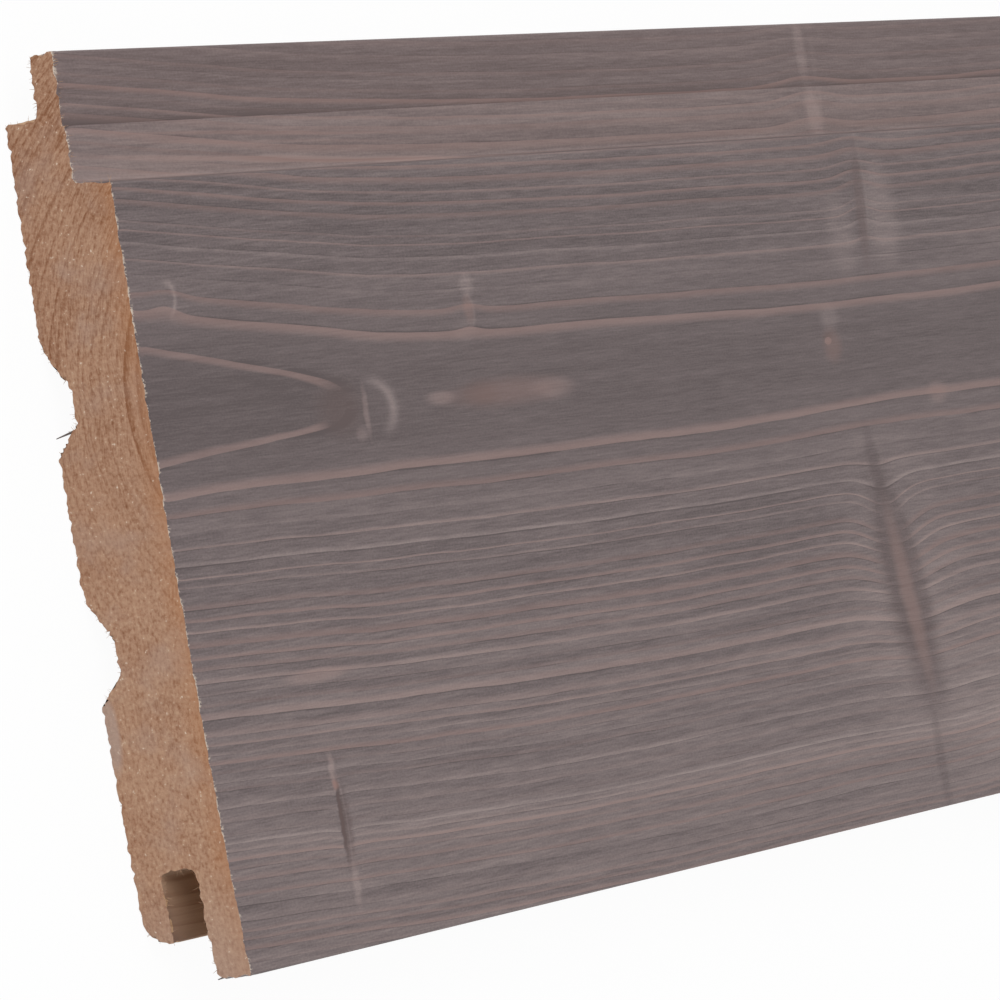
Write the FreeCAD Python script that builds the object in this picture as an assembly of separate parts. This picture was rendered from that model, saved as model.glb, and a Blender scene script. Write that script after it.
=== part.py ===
import FreeCAD, Part
import math
import os

# A softwood tongue and groove wall board with a shadow gap, moulded from one length of timber.
# It lies on its back: X runs along the grain, Y from the groove edge to the tongue edge, Z up
# out of the finished face. The origin is the middle of the back face. Sizes are in millimetres.

# Overall sizes
board_length = 1800.0
board_width = 120.0            # from the edge of the front lip to the tip of the tongue
board_thickness = 15.0

# Tongue
tongue_length = 8.0            # from the back shoulder to the tip
tongue_thickness = 4.0
tongue_back_offset = 5.0       # from the back of the board to the back of the tongue
tongue_tip_front_radius = 0.5
tongue_tip_back_radius = 1.0
tongue_root_radius = 0.4

# Groove, cut to take the tongue of the next board
groove_side_clearance = 0.6    # on each side of the tongue
groove_end_clearance = 1.0     # past the tip of the tongue
groove_corner_radius = 0.8

# Lips on either side of the groove
front_lip_overhang = 5.5       # how far the front lip reaches past the back lip
front_lip_inner_radius = 1.8
back_lip_outer_radius = 3.5
back_lip_inner_radius = 0.4

# Rebate in front of the tongue, where the next board's front lip lies and leaves a shadow gap
shadow_gap = 4.5               # open width between two faces when the back edges meet
lip_bearing = 3.7              # width of the seat under the front lip
lip_seat_clearance = 0.2       # between that lip and its seat
shoulder_slope = 9.0           # degrees that the front shoulder leans towards the tongue
rebate_corner_radius = 0.5

# Arrises
face_arris_radius = 0.4
back_shoulder_radius = 0.5

# Relief channels along the back, each with a long flank towards the tongue
channel_count = 2
channel_spacing = 32.4
channel_depth = 3.6
channel_floor_width = 4.6
channel_long_flank = 5.6       # width of the sloping flank on the tongue side
channel_short_flank = 3.6      # width of the flank on the groove side
channel_floor_radius = 1.6
channel_long_flank_radius = 6.0
channel_short_flank_radius = 1.6

# Levels in the thickness, measured from the back
tongue_front_level = tongue_back_offset + tongue_thickness
groove_back_level = tongue_back_offset - groove_side_clearance
groove_front_level = tongue_front_level + groove_side_clearance
rebate_floor_level = groove_front_level - lip_seat_clearance
rebate_depth = board_thickness - rebate_floor_level

# Places across the width, with zero at the middle of the board
front_lip_edge = -board_width / 2
tongue_tip = board_width / 2
back_lip_edge = front_lip_edge + front_lip_overhang
groove_floor = back_lip_edge + tongue_length + groove_end_clearance
back_shoulder = tongue_tip - tongue_length
front_shoulder = back_shoulder - front_lip_overhang - shadow_gap
rebate_corner = front_shoulder + rebate_depth * math.tan(math.radians(shoulder_slope))
lip_seat_edge = front_shoulder + shadow_gap + lip_bearing
back_middle = (back_lip_edge + back_shoulder) / 2


def relief_channel(floor_middle):
    """Corners of one channel in the back, from its tongue side to its groove side."""
    long_side = floor_middle + channel_floor_width / 2
    short_side = floor_middle - channel_floor_width / 2
    return [
        (long_side + channel_long_flank, 0.0, channel_long_flank_radius),
        (long_side, channel_depth, channel_floor_radius),
        (short_side, channel_depth, channel_floor_radius),
        (short_side - channel_short_flank, 0.0, channel_short_flank_radius),
    ]


def relief_channels():
    """Corners of all the channels, in order from the tongue side."""
    corners = []
    for index in range(channel_count):
        steps_from_middle = (channel_count - 1) / 2 - index
        corners += relief_channel(back_middle + steps_from_middle * channel_spacing)
    return corners


def rounded_outline(corners):
    """Closed wire across the board through corners given as (across, level, radius)."""
    points = [FreeCAD.Vector(0, across, level) for across, level, radius in corners]
    starts, ends, edges = [], [], []
    for index, (across, level, radius) in enumerate(corners):
        corner = points[index]
        to_last = (points[index - 1] - corner).normalize()
        to_next = (points[(index + 1) % len(points)] - corner).normalize()
        half_angle = to_last.getAngle(to_next) / 2
        starts.append(corner + to_last * (radius / math.tan(half_angle)))
        ends.append(corner + to_next * (radius / math.tan(half_angle)))
        if radius > 0:
            inward = (to_last + to_next).normalize()
            middle = corner + inward * (radius / math.sin(half_angle) - radius)
            edges.append(Part.Arc(starts[index], middle, ends[index]).toShape())
    for index in range(len(points)):
        edges.append(Part.LineSegment(ends[index - 1], starts[index]).toShape())
    return Part.Wire(Part.__sortEdges__(edges))


def board_section():
    """The moulded section, from the groove edge of the face round by the tongue and the back."""
    face = [
        (front_lip_edge, board_thickness, face_arris_radius),
        (front_shoulder, board_thickness, face_arris_radius),
    ]
    rebate = [
        (rebate_corner, rebate_floor_level, rebate_corner_radius),
        (lip_seat_edge, rebate_floor_level, 0.0),
        (lip_seat_edge, tongue_front_level, 0.0),
    ]
    tongue = [
        (tongue_tip, tongue_front_level, tongue_tip_front_radius),
        (tongue_tip, tongue_back_offset, tongue_tip_back_radius),
        (back_shoulder, tongue_back_offset, tongue_root_radius),
    ]
    back = [(back_shoulder, 0.0, back_shoulder_radius)]
    back += relief_channels()
    groove = [
        (back_lip_edge, 0.0, back_lip_outer_radius),
        (back_lip_edge, groove_back_level, back_lip_inner_radius),
        (groove_floor, groove_back_level, groove_corner_radius),
        (groove_floor, groove_front_level, groove_corner_radius),
        (front_lip_edge, groove_front_level, front_lip_inner_radius),
    ]
    return rounded_outline(face + rebate + tongue + back + groove)


def make_board():
    """The section carried along the grain and sawn square at both ends."""
    section = Part.Face(board_section())
    section.translate(FreeCAD.Vector(-board_length / 2, 0, 0))
    return section.extrude(FreeCAD.Vector(board_length, 0, 0))


os.makedirs("parts", exist_ok=True)
make_board().exportStep("parts/board.step")
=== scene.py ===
import math
import random
from collections import namedtuple

import bmesh
import bpy
from bpy.props import FloatProperty, FloatVectorProperty, IntProperty, PointerProperty
from mathutils import Matrix, Vector, noise


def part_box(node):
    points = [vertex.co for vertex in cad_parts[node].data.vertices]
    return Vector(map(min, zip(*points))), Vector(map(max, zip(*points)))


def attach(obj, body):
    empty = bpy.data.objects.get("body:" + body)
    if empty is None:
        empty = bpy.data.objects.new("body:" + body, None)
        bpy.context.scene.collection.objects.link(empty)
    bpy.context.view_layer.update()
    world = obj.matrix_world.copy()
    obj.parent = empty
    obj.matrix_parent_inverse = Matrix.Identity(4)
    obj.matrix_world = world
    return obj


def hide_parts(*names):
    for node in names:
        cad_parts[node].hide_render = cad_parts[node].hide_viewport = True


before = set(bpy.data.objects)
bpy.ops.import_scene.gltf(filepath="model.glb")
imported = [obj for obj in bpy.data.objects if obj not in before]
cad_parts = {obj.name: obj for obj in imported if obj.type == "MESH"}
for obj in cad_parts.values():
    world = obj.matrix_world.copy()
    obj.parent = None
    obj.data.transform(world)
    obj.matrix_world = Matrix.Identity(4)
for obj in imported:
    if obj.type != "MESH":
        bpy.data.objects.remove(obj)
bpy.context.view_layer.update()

bl_info = {
    "name": "Tongue and groove board",
    "version": (1, 0, 0),
    "blender": (4, 5, 0),
    "location": "View3D > Sidebar > Board",
    "description": "Builds a stained spruce tongue and groove board with sawn ends on a pale floor",
    "category": "Object",
}

MM = 0.001
BOARD_LOW, BOARD_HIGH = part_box("board")
BOARD_LENGTH = BOARD_HIGH.x - BOARD_LOW.x
BOARD_WIDTH = BOARD_HIGH.y - BOARD_LOW.y
BOARD_THICKNESS = BOARD_HIGH.z - BOARD_LOW.z
SENSOR_WIDTH = 36                   # millimetres, as Blender counts it
SIGHT = 100                         # how far the camera sees, in metres
LAMP_SIZE = 2.0
FLOOR_GAP = 0.1 * MM                # between the floor and the back of the board
FLOOR_WHITE = 0.96                  # share of the floor's look that is even white


def linear(hex_colour):
    """Linear red, green and blue of an sRGB hex colour."""
    shares = [int(hex_colour[i:i + 2], 16) / 255 for i in (0, 2, 4)]
    return tuple(s / 12.92 if s <= 0.04045 else ((s + 0.055) / 1.055) ** 2.4 for s in shares)


# Sizes and colours that a user would change

class BoardSection(bpy.types.PropertyGroup):
    """The moulded section of the board."""

    tongue_length: FloatProperty(
        name="Tongue length", description="From the back shoulder to the tip",
        default=8.0 * MM, unit="LENGTH")
    tongue_thickness: FloatProperty(
        name="Tongue thickness", description="From the back of the tongue to its front",
        default=4.0 * MM, unit="LENGTH")
    tongue_back_offset: FloatProperty(
        name="Tongue offset", description="From the back of the board to the back of the tongue",
        default=5.0 * MM, unit="LENGTH")
    tongue_tip_front_radius: FloatProperty(
        name="Tip front radius", description="Rounding of the tongue's tip on the face side",
        default=0.5 * MM, unit="LENGTH")
    tongue_tip_back_radius: FloatProperty(
        name="Tip back radius", description="Rounding of the tongue's tip on the back side",
        default=1.0 * MM, unit="LENGTH")
    tongue_root_radius: FloatProperty(
        name="Tongue root radius", description="Rounding between the tongue and the back shoulder",
        default=0.4 * MM, unit="LENGTH")
    groove_side_clearance: FloatProperty(
        name="Groove side clearance", description="Room on each side of a tongue in the groove",
        default=0.6 * MM, unit="LENGTH")
    groove_end_clearance: FloatProperty(
        name="Groove end clearance", description="Room past the tip of a tongue in the groove",
        default=1.0 * MM, unit="LENGTH")
    groove_corner_radius: FloatProperty(
        name="Groove corner radius", description="Rounding at the bottom of the groove",
        default=0.8 * MM, unit="LENGTH")
    front_lip_overhang: FloatProperty(
        name="Front lip overhang", description="How far the front lip reaches past the back lip",
        default=5.5 * MM, unit="LENGTH")
    front_lip_inner_radius: FloatProperty(
        name="Front lip inner radius", description="Rounding of the front lip on the groove side",
        default=1.8 * MM, unit="LENGTH")
    back_lip_outer_radius: FloatProperty(
        name="Back lip outer radius", description="Rounding of the back lip on the board's back",
        default=3.5 * MM, unit="LENGTH")
    back_lip_inner_radius: FloatProperty(
        name="Back lip inner radius", description="Rounding of the back lip on the groove side",
        default=0.4 * MM, unit="LENGTH")
    shadow_gap: FloatProperty(
        name="Shadow gap", description="Open width between two faces when the back edges meet",
        default=4.5 * MM, unit="LENGTH")
    lip_bearing: FloatProperty(
        name="Lip bearing", description="Width of the seat under the next board's front lip",
        default=3.7 * MM, unit="LENGTH")
    lip_seat_clearance: FloatProperty(
        name="Lip seat clearance", description="Between the next board's front lip and its seat",
        default=0.2 * MM, unit="LENGTH")
    shoulder_slope: FloatProperty(
        name="Shoulder slope", description="Lean of the front shoulder towards the tongue",
        default=math.radians(9.0), subtype="ANGLE")
    rebate_corner_radius: FloatProperty(
        name="Rebate corner radius", description="Rounding at the foot of the front shoulder",
        default=0.5 * MM, unit="LENGTH")
    face_arris_radius: FloatProperty(
        name="Face arris radius", description="Rounding of the two long edges of the face",
        default=0.4 * MM, unit="LENGTH")
    back_shoulder_radius: FloatProperty(
        name="Back shoulder radius", description="Rounding of the back's edge behind the tongue",
        default=0.5 * MM, unit="LENGTH")
    channel_count: IntProperty(
        name="Relief channels", description="Number of channels along the back", default=2, min=0)
    channel_spacing: FloatProperty(
        name="Channel spacing", description="Between the middles of two channels",
        default=32.4 * MM, unit="LENGTH")
    channel_depth: FloatProperty(
        name="Channel depth", description="Depth of a channel from the back",
        default=3.6 * MM, unit="LENGTH")
    channel_floor_width: FloatProperty(
        name="Channel floor", description="Width of the flat floor of a channel",
        default=4.6 * MM, unit="LENGTH")
    channel_long_flank: FloatProperty(
        name="Long flank", description="Width of a channel's flank on the tongue side",
        default=5.6 * MM, unit="LENGTH")
    channel_short_flank: FloatProperty(
        name="Short flank", description="Width of a channel's flank on the groove side",
        default=3.6 * MM, unit="LENGTH")
    channel_floor_radius: FloatProperty(
        name="Channel floor radius", description="Rounding between floor and flanks",
        default=1.6 * MM, unit="LENGTH")
    channel_long_flank_radius: FloatProperty(
        name="Long flank radius", description="Rounding between the back and the long flank",
        default=6.0 * MM, unit="LENGTH")
    channel_short_flank_radius: FloatProperty(
        name="Short flank radius", description="Rounding between the back and the short flank",
        default=1.6 * MM, unit="LENGTH")


class SawnEnds(bpy.types.PropertyGroup):
    """How rough the saw left the two ends."""

    pitch: FloatProperty(
        name="Mesh pitch", description="Spacing of the points on an end and round its edge",
        default=0.5 * MM, unit="LENGTH")
    edge_tear: FloatProperty(
        name="Edge tear", description="Deepest nibble that the saw took out of an edge",
        default=0.5 * MM, unit="LENGTH")
    face_tear: FloatProperty(
        name="Face tear", description="Deepest nibble along the edge of the finished face",
        default=0.2 * MM, unit="LENGTH")
    tear_reach: FloatProperty(
        name="Tear reach", description="How far along the board a nibble runs out",
        default=2.5 * MM, unit="LENGTH")
    roughness: FloatProperty(
        name="Sawn roughness", description="Depth of the hollows in the sawn wood",
        default=0.22 * MM, unit="LENGTH")
    bow: FloatProperty(
        name="Saw bow", description="How far the tongue and the lips lie behind an end's middle",
        default=1.3 * MM, unit="LENGTH")
    bow_reach: FloatProperty(
        name="Bow reach", description="How far along the board the mesh evens the bow out",
        default=25.0 * MM, unit="LENGTH")


class TornFibres(bpy.types.PropertyGroup):
    """The fuzz that the saw left round the two ends."""

    count: IntProperty(
        name="Fibres", description="Number of fibres round each end", default=420, min=0)
    seed: IntProperty(
        name="Seed", description="Start of the run of chance that places them", default=7)
    shortest: FloatProperty(
        name="Shortest", description="How far the shortest fibre stands out",
        default=0.2 * MM, unit="LENGTH")
    longest: FloatProperty(
        name="Longest", description="How far the longest fibre stands out",
        default=0.85 * MM, unit="LENGTH")
    radius: FloatProperty(
        name="Radius", description="Radius of a fibre at its root",
        default=0.055 * MM, unit="LENGTH")
    splinter_radius: FloatProperty(
        name="Splinter radius", description="Radius of a splinter at its root",
        default=0.2 * MM, unit="LENGTH")


class WoodFigure(bpy.types.PropertyGroup):
    """How the tree grew: one field of annual rings for every face of the board."""

    ring_width: FloatProperty(
        name="Ring width", description="Mean width of an annual ring",
        default=1.3 * MM, unit="LENGTH")
    wide_ring_radius: FloatProperty(
        name="Wide ring radius", description="Outer radius of the last wide ring round the pith",
        default=25.2 * MM, unit="LENGTH")
    wide_ring_width: FloatProperty(
        name="Wide ring width", description="Width of the rings inside that radius",
        default=1.9 * MM, unit="LENGTH")
    first_year: FloatProperty(
        name="First year", description="Where in the run of good and bad years the board starts",
        default=1000.0)
    luck: FloatProperty(
        name="Luck", description="How many ring widths good and bad years shift the rings by",
        default=2.0, min=0)
    wander: FloatProperty(
        name="Grain wander", description="How far the grain strays from a straight line",
        default=0.6 * MM, unit="LENGTH")


class BoardColours(bpy.types.PropertyGroup):
    """Colours of the stain and of the bare wood."""

    stain_line: FloatVectorProperty(
        name="Stained ring line", description="Start of a year's growth, where stain collects",
        default=linear("544949"), subtype="COLOR", min=0, max=1)
    stain_early: FloatVectorProperty(
        name="Stained early wood", description="Soft spring wood that drinks the stain",
        default=linear("695d5d"), subtype="COLOR", min=0, max=1)
    stain_late: FloatVectorProperty(
        name="Stained late wood", description="Hard summer wood that takes little stain",
        default=linear("948582"), subtype="COLOR", min=0, max=1)
    stain_warm: FloatVectorProperty(
        name="Stained resin", description="Summer wood with resin in it",
        default=linear("8e716a"), subtype="COLOR", min=0, max=1)
    stain_knot: FloatVectorProperty(
        name="Stained knot", description="Wood of a branch under the stain",
        default=linear("5a4845"), subtype="COLOR", min=0, max=1)
    end_wood: FloatVectorProperty(
        name="Sawn end", description="Bare sawn end grain",
        default=linear("ad876e"), subtype="COLOR", min=0, max=1)
    end_late: FloatVectorProperty(
        name="Sawn late wood", description="Hard summer wood on a sawn end",
        default=linear("865a40"), subtype="COLOR", min=0, max=1)
    end_fuzz: FloatVectorProperty(
        name="Sawn fuzz", description="Torn fibre ends that catch the light",
        default=linear("c3a186"), subtype="COLOR", min=0, max=1)
    end_grey: FloatVectorProperty(
        name="Sawn grey", description="Patches of the end that went grey",
        default=linear("b0998d"), subtype="COLOR", min=0, max=1)
    end_scorch: FloatVectorProperty(
        name="Sawn scorch", description="Wood browned by the saw next to the face",
        default=linear("ad7750"), subtype="COLOR", min=0, max=1)
    end_speck: FloatVectorProperty(
        name="Sawn specks", description="Loose crumbs and fibre ends, nearly white",
        default=linear("e2d2c0"), subtype="COLOR", min=0, max=1)
    bare_wood: FloatVectorProperty(
        name="Planed bare wood", description="Planed spring wood without stain",
        default=linear("c19d7c"), subtype="COLOR", min=0, max=1)
    bare_late: FloatVectorProperty(
        name="Planed late wood", description="Planed summer wood without stain",
        default=linear("9c7150"), subtype="COLOR", min=0, max=1)
    # Stain mist on the bare wood, and painted shade inside the groove near the ends
    groove_mist_and_shade: FloatVectorProperty(
        name="Stain mist", description="Bare wood dulled by drifting stain",
        default=linear("644a42"), subtype="COLOR", min=0, max=1)
    bare_knot: FloatVectorProperty(
        name="Planed knot", description="Wood of a branch without stain",
        default=linear("7d5231"), subtype="COLOR", min=0, max=1)
    fibre: FloatVectorProperty(
        name="Torn fibre", description="Loose fibre ends round the sawn ends",
        default=linear("b39175"), subtype="COLOR", min=0, max=1)
    splinter: FloatVectorProperty(
        name="Splinter", description="Stained splinters caught on the sawn end",
        default=linear("665a56"), subtype="COLOR", min=0, max=1)
    floor: FloatVectorProperty(
        name="Floor", description="Matt floor under the board",
        default=linear("f2f2f2"), subtype="COLOR", min=0, max=1)


class StageSettings(bpy.types.PropertyGroup):
    """Camera, floor and light."""

    lens: FloatProperty(
        name="Lens", description="Focal length on a 36 mm wide sensor", default=248.95)
    camera_from_end: FloatProperty(
        name="Camera before the end", description="Along the grain, from the near end",
        default=720.1 * MM, unit="LENGTH")
    camera_across: FloatProperty(
        name="Camera across", description="From the middle of the board's width",
        default=-20.2 * MM, unit="LENGTH")
    camera_height: FloatProperty(
        name="Camera height", description="Above the floor", default=511.4 * MM, unit="LENGTH")
    camera_aim: FloatVectorProperty(
        name="Camera aim", description="Direction that the camera looks in",
        default=(0.84945, 0.01615, -0.52736), subtype="DIRECTION")
    camera_up: FloatVectorProperty(
        name="Camera up", description="Direction that is upright in the picture",
        default=(0.0764, 0.9852, 0.1533), subtype="DIRECTION")
    floor_size: FloatProperty(
        name="Floor size", description="Length of a side of the floor", default=60.0, unit="LENGTH")
    sky_level: FloatProperty(
        name="Sky level", description="Even light from all round", default=0.6, min=0)
    key_power: FloatProperty(
        name="Key light", description="Power of the soft lamp over the tongue side",
        default=31.0, unit="POWER")
    key_distance: FloatProperty(
        name="Key distance", description="From the near end to the lamp", default=2.6, unit="LENGTH")
    key_direction: FloatVectorProperty(
        name="Key direction", description="From the near end towards the lamp",
        default=(-0.5, 0.45, 0.75), subtype="DIRECTION")


SETTINGS = {
    "board_section": BoardSection,
    "board_ends": SawnEnds,
    "board_fibres": TornFibres,
    "board_figure": WoodFigure,
    "board_colours": BoardColours,
    "board_stage": StageSettings,
}


# Shape of the board

ARC_SEGMENTS = 6
ON_PLANE = 1e-7                     # how near to a cut a point counts as lying on it
END_CUTS = (0.35, 0.9, 1.7, 3.0, 6.0, 12.0, 25.0, 50.0)     # cross cuts from an end, in millimetres
MIDDLE_CUTS = 100 * MM              # between two cross cuts away from the ends
END_FACING = 0.9                    # how squarely a face of an end looks along the board
SHARP_ANGLE = math.radians(40)

# Where the surfaces lie on the map that materials are baked through, in shares of the map
MAP_MARGIN = 0.002
MAP_SIDES_LOW = 0.005
MAP_SIDES_HEIGHT = 0.89
MAP_SEAM_ROOM = 1.01                # the way round with a little room past the seam
MAP_ENDS_LOW = 0.915
MAP_END_HEIGHT = 0.075
MAP_END_WIDTH = 0.48
MAP_NEAR_END = 0.01
MAP_FAR_END = 0.51
MAP_FIRST_WHORLS = 0.4

# Waves of the saw's marks as (waves per millimetre, strength), and the mean and swing of their depth
EDGE_NIBBLES = ((0.9, 1.0), (2.3, 0.7))
EDGE_MEAN, EDGE_SWING = 0.35, 0.9
END_HOLLOWS = ((0.35, 1.0), (1.1, 0.8))
END_MEAN, END_SWING = 0.4, 0.4
FACE_EDGE = 0.5 * MM                # edges this near to the face tear like the face
AT_END = 1e-6                       # how near to an end a point counts as lying in it
BOW_POWER = 3                       # the bow is flat in the middle and steep at the edges

# Fibres: depth of the root from the end in millimetres, stray of the tip in shares of its reach
FIBRE_ROOTS = (0.1, 0.6)
FIBRE_STRAY_BESIDE = (-0.7, 0.7)
FIBRE_STRAY_ALONG = (-0.3, 0.5)
FIBRE_THICKNESS = (0.5, 1)          # shares of the full radius
FIBRE_POWER = 3                     # most fibres are short
SLIVER_SIDES = 4
SLIVER_TIP = 0.3                    # share of the root's radius
SPLINTER_DEPTH = 0.3 * MM           # of a splinter's root from the near end

Corner = namedtuple("Corner", "across level radius")


class SectionPlaces:
    """Levels from the back and places across the board that follow from the section's sizes."""

    def __init__(self, sizes):
        self.tongue_front = sizes.tongue_back_offset + sizes.tongue_thickness
        self.groove_back = sizes.tongue_back_offset - sizes.groove_side_clearance
        self.groove_front = self.tongue_front + sizes.groove_side_clearance
        self.rebate_floor = self.groove_front - sizes.lip_seat_clearance
        self.face = BOARD_THICKNESS
        self.front_lip_edge = BOARD_LOW.y
        self.tongue_tip = BOARD_HIGH.y
        self.back_lip_edge = self.front_lip_edge + sizes.front_lip_overhang
        self.groove_floor = self.back_lip_edge + sizes.tongue_length + sizes.groove_end_clearance
        self.back_shoulder = self.tongue_tip - sizes.tongue_length
        self.front_shoulder = self.back_shoulder - sizes.front_lip_overhang - sizes.shadow_gap
        rebate_depth = self.face - self.rebate_floor
        self.rebate_corner = self.front_shoulder + rebate_depth * math.tan(sizes.shoulder_slope)
        self.lip_seat_edge = self.front_shoulder + sizes.shadow_gap + sizes.lip_bearing
        self.back_middle = (self.back_lip_edge + self.back_shoulder) / 2


def channel_corners(sizes, floor_middle):
    """Corners of one relief channel, from its tongue side to its groove side."""
    long_side = floor_middle + sizes.channel_floor_width / 2
    short_side = floor_middle - sizes.channel_floor_width / 2
    return [
        Corner(long_side + sizes.channel_long_flank, 0, sizes.channel_long_flank_radius),
        Corner(long_side, sizes.channel_depth, sizes.channel_floor_radius),
        Corner(short_side, sizes.channel_depth, sizes.channel_floor_radius),
        Corner(short_side - sizes.channel_short_flank, 0, sizes.channel_short_flank_radius),
    ]


def section_corners(sizes, at):
    """Corners of the section, from the groove edge of the face by the tongue to the groove."""
    corners = [
        Corner(at.front_lip_edge, at.face, sizes.face_arris_radius),
        Corner(at.front_shoulder, at.face, sizes.face_arris_radius),
        Corner(at.rebate_corner, at.rebate_floor, sizes.rebate_corner_radius),
        Corner(at.lip_seat_edge, at.rebate_floor, 0),
        Corner(at.lip_seat_edge, at.tongue_front, 0),
        Corner(at.tongue_tip, at.tongue_front, sizes.tongue_tip_front_radius),
        Corner(at.tongue_tip, sizes.tongue_back_offset, sizes.tongue_tip_back_radius),
        Corner(at.back_shoulder, sizes.tongue_back_offset, sizes.tongue_root_radius),
        Corner(at.back_shoulder, 0, sizes.back_shoulder_radius),
    ]
    for index in range(sizes.channel_count):
        steps_from_middle = (sizes.channel_count - 1) / 2 - index
        floor_middle = at.back_middle + steps_from_middle * sizes.channel_spacing
        corners += channel_corners(sizes, floor_middle)
    corners += [
        Corner(at.back_lip_edge, 0, sizes.back_lip_outer_radius),
        Corner(at.back_lip_edge, at.groove_back, sizes.back_lip_inner_radius),
        Corner(at.groove_floor, at.groove_back, sizes.groove_corner_radius),
        Corner(at.groove_floor, at.groove_front, sizes.groove_corner_radius),
        Corner(at.front_lip_edge, at.groove_front, sizes.front_lip_inner_radius),
    ]
    return corners


def draw_section(bm, corners):
    """One face across the board at the near end, with its corners rounded."""
    points = [bm.verts.new((BOARD_LOW.x, c.across, BOARD_LOW.z + c.level)) for c in corners]
    bm.faces.new(points)
    places = [p.co.copy() for p in points]
    for index, corner in enumerate(corners):
        if corner.radius == 0:
            continue
        to_last = places[index - 1] - places[index]
        to_next = places[(index + 1) % len(places)] - places[index]
        half_angle = to_last.angle(to_next) / 2
        bmesh.ops.bevel(
            bm, geom=[points[index]], offset=corner.radius / math.tan(half_angle),
            offset_type="OFFSET", affect="VERTICES", segments=ARC_SEGMENTS, profile=0.5, material=-1)


def cut_across(bm, places, normal):
    """Cuts the whole mesh at each place along a normal."""
    for place in places:
        everything = bm.verts[:] + bm.edges[:] + bm.faces[:]
        bmesh.ops.bisect_plane(
            bm, geom=everything, dist=ON_PLANE, plane_co=Vector(normal) * place, plane_no=normal)


def spread(low, high, pitch):
    """Places between two ends, evenly spaced, the ends left out."""
    count = max(1, round((high - low) / pitch))
    return [low + (high - low) * i / count for i in range(1, count)]


def carry_along(bm):
    """Carries the section along the grain to the far end."""
    section = bm.verts[:] + bm.edges[:] + bm.faces[:]
    made = bmesh.ops.extrude_face_region(bm, geom=section, use_keep_orig=True)
    far_end = [g for g in made["geom"] if isinstance(g, bmesh.types.BMVert)]
    bmesh.ops.translate(bm, verts=far_end, vec=(BOARD_LENGTH, 0, 0))
    bmesh.ops.recalc_face_normals(bm, faces=bm.faces[:])


def measure_outline(bm, run):
    """Writes at each point of the outline how far round it lies, and gives back the whole way."""
    outline = {v for e in bm.edges if e.is_boundary for v in e.verts}
    start = min(outline, key=lambda v: (round(v.co.z, 6), abs(v.co.y)))
    way = 0
    vert = start
    passed = None
    while vert is not start or passed is None:
        vert[run] = way
        passed = next(e for e in vert.link_edges if e.is_boundary and e is not passed)
        way += passed.calc_length()
        vert = passed.other_vert(vert)
    return way


def lay_out(bm, run, whole_way):
    """The map that materials are baked through: the long surfaces unrolled, the ends above them.

    The first whorls from the near end get more of the map's length, as their figure is finest.
    """
    corner_map = bm.loops.layers.uv.new("OFBake")
    border = FIRST_WHORL_END
    for face in bm.faces:
        runs = [v[run] for v in face.verts]
        over_seam = max(runs) - min(runs) > whole_way / 2
        for loop in face.loops:
            place = loop.vert.co
            along = place.x - BOARD_LOW.x
            if is_end(face):
                first = MAP_NEAR_END if place.x < 0 else MAP_FAR_END
                across = first + MAP_END_WIDTH * (place.y - BOARD_LOW.y) / BOARD_WIDTH
                up = MAP_ENDS_LOW + MAP_END_HEIGHT * (place.z - BOARD_LOW.z) / BOARD_THICKNESS
                loop[corner_map].uv = (across, up)
                continue
            way = loop.vert[run]
            if over_seam and way < whole_way / 2:
                way += whole_way
            if along < border:
                share = MAP_FIRST_WHORLS * along / border
            else:
                rest = (along - border) / (BOARD_LENGTH - border)
                share = MAP_FIRST_WHORLS + (1 - MAP_FIRST_WHORLS) * rest
            across = MAP_MARGIN + (1 - 2 * MAP_MARGIN) * share
            up = MAP_SIDES_LOW + MAP_SIDES_HEIGHT * way / (MAP_SEAM_ROOM * whole_way)
            loop[corner_map].uv = (across, up)


def length_stations():
    """Places of the cross cuts: close together near the sawn ends, wide apart between them."""
    near = [d * MM for d in END_CUTS]
    middle = spread(BOARD_LOW.x + near[-1], BOARD_HIGH.x - near[-1], MIDDLE_CUTS)
    borders = [BOARD_LOW.x + end for name, end, branches, marks in STRETCHES[:-1]]
    return [BOARD_LOW.x + d for d in near] + middle + borders + [BOARD_HIGH.x - d for d in near]


def is_end(face):
    """True for a face of a sawn end."""
    return abs(face.normal.x) > END_FACING


def outward(vert):
    """Direction straight out of the long surfaces at a point, or None inside an end."""
    sides = [f.normal for f in vert.link_faces if not is_end(f)]
    if not sides:
        return None
    direction = sum(sides, Vector())
    direction.x = 0
    return direction.normalized()


def from_nearer_end(vert):
    """How far a point lies from the nearer end, and which way along the board is inwards there."""
    from_end = min(vert.co.x - BOARD_LOW.x, BOARD_HIGH.x - vert.co.x)
    return from_end, 1 if vert.co.x < 0 else -1


def torn_share(place, waves, mean, swing):
    """Share of the full depth that the saw tore at a place, from waves of a few sizes."""
    height = sum(strength * noise.noise(place * per_mm) for per_mm, strength in waves)
    return min(1.0, max(0.0, mean + swing * height))


def tear_ends(bm, ends):
    """Nibbles the edges of the sawn ends and hollows the sawn wood, always inwards."""
    moves = {}
    for vert in bm.verts:
        from_end, inward_along = from_nearer_end(vert)
        if from_end > ends.tear_reach:
            continue
        place = vert.co / MM
        move = Vector()
        direction = outward(vert)
        if direction:
            share = torn_share(place, EDGE_NIBBLES, EDGE_MEAN, EDGE_SWING)
            at_face = vert.co.z > BOARD_HIGH.z - FACE_EDGE
            depth = ends.face_tear if at_face else ends.edge_tear
            fade = (1 - from_end / ends.tear_reach) ** 2
            move -= direction * depth * share * fade
        if from_end < AT_END:
            share = torn_share(place, END_HOLLOWS, END_MEAN, END_SWING)
            move.x += inward_along * ends.roughness * share
        moves[vert] = move
    for vert, move in moves.items():
        vert.co += move


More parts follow.
